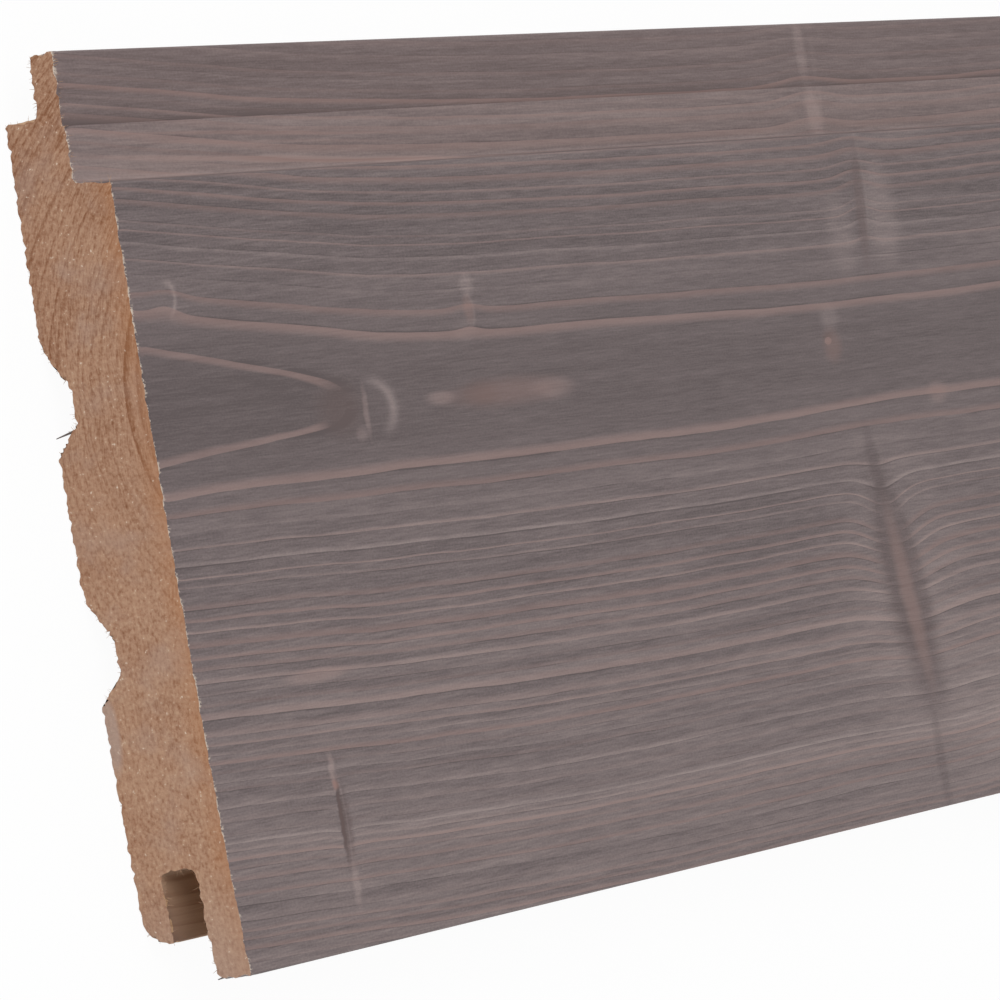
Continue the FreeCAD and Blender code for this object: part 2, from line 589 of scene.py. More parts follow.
def bow_ends(bm, ends):
    """Sets the ends back towards the tongue and the lips, as the saw ran in a slight bow."""
    for vert in bm.verts:
        from_end, inward_along = from_nearer_end(vert)
        if from_end < ends.bow_reach:
            depth = ends.bow * abs(vert.co.y / BOARD_HIGH.y) ** BOW_POWER
            vert.co.x += inward_along * depth * (1 - from_end / ends.bow_reach)


def add_sliver(bm, root, tip, radius):
    """One fibre or splinter: a thin four-sided point from its root to its tip."""
    way = tip - root
    turn = way.to_track_quat("Z", "Y").to_matrix().to_4x4()
    bmesh.ops.create_cone(
        bm, cap_ends=True, segments=SLIVER_SIDES, radius1=radius, radius2=SLIVER_TIP * radius,
        depth=way.length, matrix=Matrix.Translation((root + tip) / 2) @ turn)


def inside_box(place, margin):
    """The nearest place that keeps a margin from the board's own box."""
    limits = zip(place, BOARD_LOW, BOARD_HIGH)
    return Vector([min(max(side, low + margin), high - margin) for side, low, high in limits])


def add_fibres(bm, section, fibres, tear, end_x, inward):
    """Fuzz round one end: fibres rooted in the torn edge, as long as the board's box allows."""
    chance = random.Random(fibres.seed)
    outline = [e for e in section.edges if e.is_boundary]
    lengths = [e.calc_length() for e in outline]
    for edge in chance.choices(outline, lengths, k=fibres.count):
        low, high = (v.co for v in edge.verts)
        out = -edge.calc_tangent(edge.link_loops[0])
        beside = (high - low).normalized()
        place = low.lerp(high, chance.random())
        more = (fibres.longest - fibres.shortest) * chance.random() ** FIBRE_POWER
        reach = fibres.shortest + more
        root = place - out * tear
        root.x = end_x + inward * chance.uniform(*FIBRE_ROOTS) * MM
        tip = place + out * reach + beside * chance.uniform(*FIBRE_STRAY_BESIDE) * reach
        tip.x = root.x + inward * chance.uniform(*FIBRE_STRAY_ALONG) * reach
        tip = inside_box(tip, fibres.radius)
        stands_out = (tip - place).dot(out) > -tear / 3
        if stands_out and place.z < BOARD_HIGH.z - fibres.radius:
            add_sliver(bm, root, tip, fibres.radius * chance.uniform(*FIBRE_THICKNESS))


def is_stained(place, sizes, at):
    """True where the maker's stain reached: face, shoulder, rebate, tongue front and lip edge."""
    if place.z > at.face - sizes.face_arris_radius:
        return True
    if place.y < at.front_lip_edge + sizes.face_arris_radius / 2:
        return place.z > at.groove_front + sizes.front_lip_inner_radius / 2
    if place.y > at.front_shoulder - sizes.face_arris_radius:
        return place.z > at.tongue_front - sizes.tongue_thickness / 2
    return False


def dress_faces(bm, sizes, at):
    """Gives each face its finish, and smooth shading that stops at sharp edges.

    Slot 0 is the sawn end; then each stretch has a stained slot and a bare one.
    """
    for face in bm.faces:
        face.smooth = True
        if is_end(face):
            face.material_index = 0
            continue
        place = face.calc_center_median()
        stretch = sum(place.x > BOARD_LOW.x + end for name, end, branches, marks in STRETCHES)
        face.material_index = 1 + 2 * stretch + (not is_stained(place, sizes, at))
    for edge in bm.edges:
        edge.smooth = edge.calc_face_angle(0) < SHARP_ANGLE


def show(bm, name, materials):
    """Puts a finished mesh into the scene as one piece of the board."""
    mesh = bpy.data.meshes.new(name)
    bm.to_mesh(mesh)
    bm.free()
    for material in materials:
        mesh.materials.append(material)
    piece = bpy.data.objects.new(name, mesh)
    bpy.context.scene.collection.objects.link(piece)
    return piece


# Materials

def add(tree, kind, inputs=None, stops=None, points=None, **settings):
    """Adds one node with its settings, its inputs as links or values, and its stops or points."""
    node = tree.nodes.new(kind)
    for name, value in settings.items():
        setattr(node, name, value)
    for socket, source in (inputs or {}).items():
        if isinstance(source, bpy.types.NodeSocket):
            tree.links.new(source, node.inputs[socket])
        else:
            node.inputs[socket].default_value = source
    for index, (place, value) in enumerate(stops or []):
        elements = node.color_ramp.elements
        element = elements[index] if index < 2 else elements.new(place)
        element.position = place
        element.color = (value, value, value, 1)
    if points:
        curve = node.mapping.curves[0]
        for index, (place, value) in enumerate(points):
            point = curve.points[index] if index < 2 else curve.points.new(place, value)
            point.location = (place, value)
        node.mapping.update()
    return node


def new_material(name):
    """An empty node material and its tree."""
    material = bpy.data.materials.new(name)
    material.use_nodes = True
    material.node_tree.nodes.clear()
    return material, material.node_tree


def pattern(tree, place, size, detail, roughness):
    """Outputs of a chance pattern in cells of a size along, across and up in millimetres."""
    per_mm = tuple(1 / side for side in size)
    cell = add(tree, "ShaderNodeVectorMath", {0: place, 1: per_mm},
               operation="MULTIPLY").outputs["Vector"]
    return add(tree, "ShaderNodeTexNoise", {"Vector": cell, "Scale": 1.0, "Detail": detail,
                                            "Roughness": roughness}).outputs


def finish_wood(tree, colour, roughness, shine, relief, strength, depth):
    """Ends a wood material with its colour, its gloss and a fine relief."""
    normal = add(tree, "ShaderNodeBump", {"Height": relief, "Strength": strength,
                                          "Distance": depth}).outputs["Normal"]
    shader = add(tree, "ShaderNodeBsdfPrincipled", {"Base Color": colour, "Roughness": roughness,
                                                    "Specular IOR Level": shine, "Normal": normal})
    add(tree, "ShaderNodeOutputMaterial", {"Surface": shader.outputs["BSDF"]})


# The pith runs outside the board, in front of its face. Along the grain in millimetres from the
# near end: how far it lies from the middle of the width, and how high above the back.
PITH_ACROSS = [(0, 13.2), (28, 11.8), (57, 10.3), (100, 9.3), (200, 9.2), (420, 12.0), (700, 8.0),
               (1000, 3.0), (1300, 6.0), (1600, 12.0), (1800, 10.0)]
PITH_HEIGHT = [(0, 36.92), (22, 37.66), (43, 38.12), (50, 38.3), (60, 38.5), (85, 38.6),
               (105, 38.6), (130, 38.65), (200, 38.95), (420, 37.6), (700, 39.2), (1000, 37.2),
               (1300, 38.8), (1600, 37.0), (1800, 38.0)]
PITH_ACROSS_RANGE = (-10.0, 30.0)
PITH_HEIGHT_RANGE = (36.0, 40.0)

# Across from the middle in millimetres: where the rebate's floor starts, the tongue's step, and the
# edge of the groove, just past its bottom.
REBATE_FLOOR_FROM = 42.7
TONGUE_STEP = 50.2
GROOVE_FROM = -45.0
GROOVE_LEVEL = 4.2                  # just under the groove, from the board's back

# Branches that grew out from the pith. Each is given by where it meets the face: along from the
# near end, across from the middle, its radius there, how far it pushes the rings out, how high
# over the face it set out, how far it leans along the grain for each millimetre of its own length,
# how dark its wood is, and how pale its up-grain rim is (below zero the whole rim is dark).
Branch = namedtuple("Branch", "along across radius push rise lean core rim")
BRANCH_AT_ARCH = Branch(51.2, 9.6, 3.4, -0.2, 24, 1.0, 0.0, 0.85)
END_BRANCHES = [
    BRANCH_AT_ARCH,
    Branch(28, -43, 0.9, 0.3, 9, 0.0, 0.15, 0.3),
    Branch(8, 26.3, 1.9, 0.5, 24, 0.4, 0.0, 0.7),
]
SMALL_BRANCHES = [
    BRANCH_AT_ARCH,
    Branch(79.5, 21, 1.6, 0.35, 12, 0, 0.0, 0.3),
]
FIRST_BRANCHES = [
    Branch(188, -20, 4.2, 2.4, 12, 0.2, 0.0, -0.15),
    Branch(178, 11.5, 1.6, 0.8, 16, 1.2, 0.0, 0.0),
    Branch(195, 33, 2.2, 0.9, 7, 0.0, 0.0, 0.15),
]
OTHER_BRANCHES = [
    Branch(395, -12, 1.4, 1.5, 24, 0, 0.6, 0.2),
    Branch(556, 28, 3.4, 2.4, 14, 0.1, 0.6, -0.4),
    Branch(570, -33, 3.6, 2.6, 12, 0.3, 0.7, -0.5),
    Branch(735, 4, 1.6, 1.6, 24, 0, 0.4, 0.4),
    Branch(930, -8, 5.0, 3.0, 24, 0.2, 0.7, -0.5),
    Branch(944, 33, 2.6, 2.0, 12, 0.1, 0.5, -0.3),
    Branch(1120, -40, 1.5, 1.0, 12, 0.1, 0.9, 0.2),
    Branch(1302, 24, 4.4, 2.8, 24, 0.2, 0.7, -0.5),
    Branch(1316, -20, 2.8, 2.2, 14, 0.2, 0.5, -0.4),
    Branch(1490, 8, 1.4, 1.4, 24, 0, 0.5, 0.3),
    Branch(1668, -30, 4.2, 2.8, 14, 0.3, 0.7, -0.5),
    Branch(1680, 20, 2.2, 2.0, 24, 0, 0.6, -0.2),
]
# Soft marks where branches, resin and scars took the stain unevenly, and two broad faint ones that
# are painted shade and painted sheen: along from the near end and across from the middle, half their
# size along and across, their slant (along for each step across), how much paler (or below zero
# darker) they are, how warm, how much of the brown of a knot they show, and their lean (across for
# each step along).
Mark = namedtuple(
    "Mark", "along across half_along half_across slant pale warm knot lean", defaults=(0,))
REBATE_LINES = [
    Mark(55, 44.05, 62, 0.5, 0, 0.75, 0.42, 0, -0.037),
    Mark(45, 47.9, 46, 0.35, 0, 0.16, 0.35, 0, -0.03),
    Mark(45, 46.75, 46, 0.35, 0, 0.2, 0.2, 0, -0.031),
    Mark(14, 44.1, 74, 1.7, 0, 0.3, 0, 0, -0.02),
]
END_MARKS = REBATE_LINES + [
    Mark(16, 43.2, 18, 0.5, 0, 0.3, 0.1, 0, -0.02),
    # A broad, faintly darker patch by the near end: painted shade.
    Mark(18, 10, 34, 16, 0, -0.045, 0, 0),
    Mark(44, 9.9, 6.5, 4.4, 0, -0.06, 0.06, 0.3),
    Mark(50.2, 9.2, 0.8, 4.0, 0, 0.32, 0.15, 0),
    Mark(48.3, 6.2, 1.9, 1.1, 0, 0.3, 0.1, 0),
    Mark(27.5, -36.4, 0.9, 2.6, 0, 0.42, 0.15, 0),
    Mark(27.5, -38.4, 0.9, 0.8, 0, 0.1, 1.0, 0),
    Mark(27.8, -42.9, 0.55, 5.8, 0.03, -0.26, 0, 0.7),
    Mark(28.6, -44.4, 1.6, 6.2, 0.05, -0.25, 0.1, 0.15),
    Mark(28.7, -51.6, 1.1, 3.6, 0.05, 0.34, 0.05, 0),
    Mark(28.3, -24.0, 9.0, 1.0, 0, 0.26, 0.3, 0),
]
SMALL_MARKS = REBATE_LINES + [
    Mark(86, 9.6, 17, 2.3, -0.02, 0.02, 0.35, 0),
    Mark(69.2, 9.8, 4.2, 1.1, 0, 0.36, 0.2, 0),
    Mark(79.4, 9.8, 5.0, 2.2, 0, -0.16, 0.1, 0.1),
    Mark(98.3, 9.4, 6.5, 1.8, -0.05, 0.22, 0.15, 0),
    Mark(80.2, 24.8, 2.2, 1.8, 0, 0.34, 0, 0),
    Mark(79.8, 21.4, 1.6, 2.2, 0, 0.06, 0.35, 0),
    Mark(78.0, 18.6, 4.0, 1.8, 0, 0.14, 0, 0),
]
FIRST_MARKS = [
    Mark(189, -27, 24, 26, 0, 0.16, 0, 0),
    Mark(188.6, -27, 7.5, 21, -0.16, -0.32, 0.05, 0.25),
    Mark(189.2, -28, 2.7, 15, -0.16, 0.3, 0.45, 0),
    Mark(190.4, -53, 1.8, 9.0, 0, -0.14, 0, 0.1),
    Mark(185.6, -8, 2.2, 7.0, -0.16, -0.16, 0, 0.1),
    Mark(179, 10.6, 3.2, 3.0, 0, -0.05, 0.35, 0.05),
    Mark(179.5, 14.8, 3.6, 2.2, 0, 0.26, 0, 0),
    Mark(195, 31, 1.9, 11, 0.12, -0.1, 0.1, 0.15),
    Mark(201, 30, 6.0, 10, 0, 0.3, 0, 0),
    Mark(187.5, 27, 5.0, 7.0, 0, 0.24, 0, 0),
    Mark(195.7, 56, 2.0, 6.0, 0, 0.34, 0, 0),
    Mark(195.8, 46.2, 2.8, 4.0, 0, 0.5, 0.1, 0),
    Mark(209, 1.7, 3.5, 2.0, 0, 0.2, 0.2, 0),
    # A broad paler patch far along on the groove side: a painted sheen.
    Mark(222, -46, 30, 16, 0, 0.2, 0, 0),
    Mark(150, -20, 30, 14, 0, -0.1, 0, 0),
]
# Stained splinters caught on the near end: from where to where, across from the back's middle and up.
SPLINTERS = [((11.95, 3.4), (11.35, 0.1)), ((-59.5, 11.6), (-59.88, 9.7))]
# The stretches of the board by where each ends, with the branches and marks that show in it.
FIRST_WHORL_END = 260 * MM
STRETCHES = [
    ("near_end", 58 * MM, END_BRANCHES, END_MARKS),
    ("small_knots", 125 * MM, SMALL_BRANCHES, SMALL_MARKS),
    ("first_whorl", FIRST_WHORL_END, FIRST_BRANCHES, FIRST_MARKS),
    ("later_whorls", BOARD_LENGTH, OTHER_BRANCHES, []),
]


def along_curve(points, place):
    """Height of a drawn curve at one place, in straight runs."""
    for (x0, y0), (x1, y1) in zip(points, points[1:]):
        if place <= x1:
            return y0 + (y1 - y0) * (place - x0) / (x1 - x0)
    return points[-1][1]


def branch_group():
    """Node group of one branch: how far it pushes the rings outwards, its wood and its rim."""
    tree = bpy.data.node_groups.new("branch_through_the_rings", "ShaderNodeTree")
    for name, kind in (("Point", "Vector"), ("Root", "Vector"), ("Direction", "Vector"),
                       ("Taper", "Float"), ("Push", "Float"), ("Core", "Float"), ("Rim", "Float")):
        tree.interface.new_socket(name, in_out="INPUT", socket_type="NodeSocket" + kind)
    for name in ("Push", "Core", "Rim"):
        tree.interface.new_socket(name, in_out="OUTPUT", socket_type="NodeSocketFloat")
    given = add(tree, "NodeGroupInput").outputs
    offset = add(tree, "ShaderNodeVectorMath", {0: given["Point"], 1: given["Root"]},
                 operation="SUBTRACT").outputs["Vector"]
    out = add(tree, "ShaderNodeVectorMath", {0: offset, 1: given["Direction"]},
              operation="DOT_PRODUCT").outputs["Value"]
    axis = add(tree, "ShaderNodeVectorMath", {0: given["Direction"], "Scale": out},
               operation="SCALE").outputs["Vector"]
    aside = add(tree, "ShaderNodeVectorMath", {0: offset, 1: axis},
                operation="SUBTRACT").outputs["Vector"]
    reach = add(tree, "ShaderNodeMath", {0: out, 1: 1.0}, operation="MAXIMUM").outputs[0]
    radius = add(tree, "ShaderNodeMath", {0: reach, 1: given["Taper"]},
                 operation="MULTIPLY").outputs[0]
    inverse = add(tree, "ShaderNodeMath", {0: 1.0, 1: radius}, operation="DIVIDE").outputs[0]
    share = add(tree, "ShaderNodeVectorMath", {0: aside, "Scale": inverse},
                operation="SCALE").outputs["Vector"]
    ratio = add(tree, "ShaderNodeVectorMath", {0: share}, operation="LENGTH").outputs["Value"]
    core = add(tree, "ShaderNodeMapRange",
               {"Value": ratio, "From Min": 0.55, "From Max": 1.1, "To Min": given["Core"],
                "To Max": 0.0}, interpolation_type="SMOOTHSTEP").outputs["Result"]
    # The rim shows as a band about a fifth of the radius wide.
    off_rim = add(tree, "ShaderNodeMath", {0: ratio, 1: 1.05}, operation="SUBTRACT").outputs[0]
    off_rim = add(tree, "ShaderNodeMath", {0: off_rim, 1: 5.0}, operation="MULTIPLY").outputs[0]
    band = add(tree, "ShaderNodeMath", {0: off_rim, 1: off_rim}, operation="MULTIPLY").outputs[0]
    band = add(tree, "ShaderNodeMath", {0: 0.37, 1: band}, operation="POWER").outputs[0]
    # A pale rim lies on the up-grain side only, a dark one all round.
    up_grain = add(tree, "ShaderNodeVectorMath", {0: share, 1: (1.0, 0.25, 0.0)},
                   operation="DOT_PRODUCT").outputs["Value"]
    side = add(tree, "ShaderNodeMapRange", {"Value": up_grain, "From Min": 0.0,
                                            "From Max": 0.7}).outputs["Result"]
    dark = add(tree, "ShaderNodeMath", {0: given["Rim"], 1: 0.0}, operation="MINIMUM").outputs[0]
    pale = add(tree, "ShaderNodeMath", {0: given["Rim"], 1: 0.0}, operation="MAXIMUM").outputs[0]
    rim = add(tree, "ShaderNodeMath", {0: pale, 1: side, 2: dark},
              operation="MULTIPLY_ADD").outputs[0]
    rim = add(tree, "ShaderNodeMath", {0: rim, 1: band}, operation="MULTIPLY").outputs[0]
    # The grain parts round a branch like water round a stone, so its wake is long along the grain.
    wake = add(tree, "ShaderNodeVectorMath", {0: share, 1: (0.4, 0.8, 0.8)},
               operation="MULTIPLY").outputs["Vector"]
    square = add(tree, "ShaderNodeVectorMath", {0: wake, 1: wake},
                 operation="DOT_PRODUCT").outputs["Value"]
    fall = add(tree, "ShaderNodeMath", {0: 0.37, 1: square}, operation="POWER").outputs[0]
    push = add(tree, "ShaderNodeMath", {0: fall, 1: given["Push"]},
               operation="MULTIPLY").outputs[0]
    add(tree, "NodeGroupOutput", {"Push": push, "Core": core, "Rim": rim})
    return tree


def growth_group(name, figure, one_branch, branches):
    """Node group of the tree's growth: where in its year wood lies, and what branches do to it."""
    tree = bpy.data.node_groups.new("spruce_growth_" + name, "ShaderNodeTree")
    for output in ("Point", "Chances"):
        tree.interface.new_socket(output, in_out="OUTPUT", socket_type="NodeSocketVector")
    for output in ("Year", "Core", "Rim", "Radius", "Round", "Flatness"):
        tree.interface.new_socket(output, in_out="OUTPUT", socket_type="NodeSocketFloat")
    place = add(tree, "ShaderNodeTexCoord").outputs["Object"]
    point = add(tree, "ShaderNodeVectorMath", {0: place, "Scale": 1 / MM},
                operation="SCALE").outputs["Vector"]
    # The grain strays in long swells, hardly ever towards the pith.
    stray = pattern(tree, point, (40, 12, 12), detail=3.0, roughness=0.5)["Fac"]
    stray = add(tree, "ShaderNodeMath", {0: stray, 1: 0.5}, operation="SUBTRACT").outputs[0]
    wander = 2 * figure.wander / MM
    shift = add(tree, "ShaderNodeVectorMath", {0: (0, wander, 0.06 * wander), "Scale": stray},
                operation="SCALE").outputs["Vector"]
    grown = add(tree, "ShaderNodeVectorMath", {0: point, 1: shift},
                operation="ADD").outputs["Vector"]
    parts = add(tree, "ShaderNodeSeparateXYZ", {0: grown}).outputs

    length = BOARD_LENGTH / MM
    along = add(tree, "ShaderNodeMapRange",
                {"Value": parts["X"], "From Min": BOARD_LOW.x / MM, "From Max": BOARD_HIGH.x / MM,
                 "To Min": 0.0, "To Max": 1.0}).outputs["Result"]
    radial = []
    for points, (low, high), part in ((PITH_ACROSS, PITH_ACROSS_RANGE, parts["Y"]),
                                      (PITH_HEIGHT, PITH_HEIGHT_RANGE, parts["Z"])):
        shares = [(x / length, (y - low) / (high - low)) for x, y in points]
        ends_first = [shares[0], shares[-1]] + shares[1:-1]
        drawn = add(tree, "ShaderNodeFloatCurve", {"Value": along}, points=ends_first).outputs[0]
        pith = add(tree, "ShaderNodeMapRange", {"Value": drawn, "To Min": low, "To Max": high})
        radial.append(add(tree, "ShaderNodeMath", {0: part, 1: pith.outputs["Result"]},
                          operation="SUBTRACT").outputs[0])
    across, depth = radial
    arm = add(tree, "ShaderNodeCombineXYZ", {"Y": across, "Z": depth}).outputs["Vector"]
    radius = add(tree, "ShaderNodeVectorMath", {0: arm}, operation="LENGTH").outputs["Value"]
    flatness = add(tree, "ShaderNodeMath", {0: across}, operation="ABSOLUTE").outputs[0]
    angle = add(tree, "ShaderNodeMath", {0: across, 1: depth}, operation="ARCTAN2").outputs[0]
    given = {"Point": point, "Flatness": flatness, "Radius": radius}
    given["Round"] = add(tree, "ShaderNodeMath", {0: angle, 1: radius},
                         operation="MULTIPLY").outputs[0]

    face_height = BOARD_HIGH.z / MM
    for branch in branches:
        tip = Vector((branch.along + BOARD_LOW.x / MM, branch.across, face_height))
        root = Vector((tip.x, along_curve(PITH_ACROSS, branch.along), face_height + branch.rise))
        root.x -= branch.lean * (tip - root).length
        way = tip - root
        node = add(tree, "ShaderNodeGroup", node_tree=one_branch)
        sockets = {"Root": root, "Direction": way.normalized(), "Taper": branch.radius / way.length,
                   "Push": branch.push, "Core": branch.core, "Rim": branch.rim}
        tree.links.new(grown, node.inputs["Point"])
        for socket, value in sockets.items():
            node.inputs[socket].default_value = value
        radius = add(tree, "ShaderNodeMath", {0: radius, 1: node.outputs["Push"]},
                     operation="SUBTRACT").outputs[0]
        for output in ("Core", "Rim"):
            so_far = given.get(output, 0.0)
            given[output] = add(tree, "ShaderNodeMath", {0: node.outputs[output], 1: so_far},
                                operation="ADD").outputs[0]

    # Wide years lie at the inside; beyond them the rings keep their mean width.
    wide = figure.wide_ring_radius / MM
    beyond = add(tree, "ShaderNodeMath", {0: radius, 1: wide}, operation="SUBTRACT").outputs[0]
    inside = add(tree, "ShaderNodeMath", {0: beyond, 1: 0.0}, operation="MINIMUM").outputs[0]
    outside = add(tree, "ShaderNodeMath", {0: beyond, 1: 0.0}, operation="MAXIMUM").outputs[0]
    inner_years = add(tree, "ShaderNodeMath", {0: inside, 1: MM / figure.wide_ring_width,
                                               2: figure.first_year},
                      operation="MULTIPLY_ADD").outputs[0]
    outer_years = add(tree, "ShaderNodeMath", {0: outside, 1: figure.ring_width / MM},
                      operation="DIVIDE").outputs[0]
    years = add(tree, "ShaderNodeMath", {0: inner_years, 1: outer_years},
                operation="ADD").outputs[0]
    # Good and bad years come in runs of about four.
    luck = add(tree, "ShaderNodeTexNoise", {"W": years, "Scale": 0.25, "Detail": 2.0},
               noise_dimensions="1D").outputs["Fac"]
    luck = add(tree, "ShaderNodeMath", {0: luck, 1: 0.5}, operation="SUBTRACT").outputs[0]
    sway = add(tree, "ShaderNodeMapRange", {"Value": outer_years, "From Min": 0.0, "From Max": 5.0,
                                            "To Min": 0.0, "To Max": figure.luck}).outputs["Result"]
    count = add(tree, "ShaderNodeMath", {0: luck, 1: sway, 2: years},
                operation="MULTIPLY_ADD").outputs[0]
    given["Year"] = add(tree, "ShaderNodeMath", {0: count}, operation="FRACT").outputs[0]
    number = add(tree, "ShaderNodeMath", {0: count}, operation="FLOOR").outputs[0]
    given["Chances"] = add(tree, "ShaderNodeTexWhiteNoise", {"W": number},
                           noise_dimensions="1D").outputs["Color"]
    add(tree, "NodeGroupOutput", given)
    return tree


def face_marks(tree, point, streak, marks):
    """Where the marks lie on the face: how pale, how warm and how brown each place is."""
    # Their edges are drawn out by the streaks, whose middle shade shifts them by half of this.
    drawn_out = Vector((1.2, 1.0, 0.0))
    ragged = add(tree, "ShaderNodeVectorMath", {0: streak, 1: drawn_out, 2: point},
                 operation="MULTIPLY_ADD").outputs["Vector"]
    ragged_parts = add(tree, "ShaderNodeSeparateXYZ", {0: ragged}).outputs
    marked = (0.0, 0.0, 0.0)
    for mark in marks:
        scale = Vector((1 / mark.half_along, 1 / mark.half_across, 0))
        centre = Vector((BOARD_LOW.x / MM + mark.along, mark.across, 0)) + drawn_out / 2
        start = -scale * centre
        start.x += mark.slant * centre.y * scale.x
        start.y += mark.lean * centre.x * scale.y
        inside = add(tree, "ShaderNodeVectorMath", {0: ragged, 1: scale, 2: start},
                     operation="MULTIPLY_ADD").outputs["Vector"]
        if mark.slant:
            inside = add(tree, "ShaderNodeVectorMath",
                         {0: ragged_parts["Y"], 1: (-mark.slant * scale.x, 0, 0), 2: inside},
                         operation="MULTIPLY_ADD").outputs["Vector"]
        if mark.lean:
            inside = add(tree, "ShaderNodeVectorMath",
                         {0: ragged_parts["X"], 1: (0, -mark.lean * scale.y, 0), 2: inside},
                         operation="MULTIPLY_ADD").outputs["Vector"]
        inside = add(tree, "ShaderNodeVectorMath", {0: inside}, operation="LENGTH").outputs["Value"]
        share = add(tree, "ShaderNodeMapRange", {"Value": inside, "From Min": 1.2, "From Max": 0.3},
                    interpolation_type="SMOOTHSTEP").outputs["Result"]
        marked = add(tree, "ShaderNodeVectorMath",
                     {0: share, 1: (mark.pale, mark.warm, mark.knot), 2: marked},
                     operation="MULTIPLY_ADD").outputs["Vector"]
    return add(tree, "ShaderNodeSeparateXYZ", {0: marked}).outputs


def torn_stain(tree, parts, chance, saw_bow):
    """Where the saw tore the stain off the last half millimetre, here more and there less."""
    from_middle = add(tree, "ShaderNodeMath", {0: parts["X"]}, operation="ABSOLUTE").outputs[0]
    from_end = add(tree, "ShaderNodeMath", {0: BOARD_HIGH.x / MM, 1: from_middle},
                   operation="SUBTRACT").outputs[0]
    # The end itself is bowed.
    to_edge = add(tree, "ShaderNodeMath", {0: parts["Y"], 1: MM / BOARD_HIGH.y},
                  operation="MULTIPLY").outputs[0]
    to_edge = add(tree, "ShaderNodeMath", {0: to_edge}, operation="ABSOLUTE").outputs[0]
    bow = add(tree, "ShaderNodeMath", {0: to_edge, 1: BOW_POWER}, operation="POWER").outputs[0]
    from_end = add(tree, "ShaderNodeMath", {0: bow, 1: -saw_bow / MM, 2: from_end},
                   operation="MULTIPLY_ADD").outputs[0]
    torn_to = add(tree, "ShaderNodeMapRange", {"Value": chance, "From Min": 0.2, "From Max": 0.36,
                                               "To Min": 0.0, "To Max": 0.7}).outputs["Result"]
    return add(tree, "ShaderNodeMapRange", {"Value": from_end, "From Min": torn_to, "From Max": 0.0,
                                            "To Min": 0.0, "To Max": 0.9}).outputs["Result"]


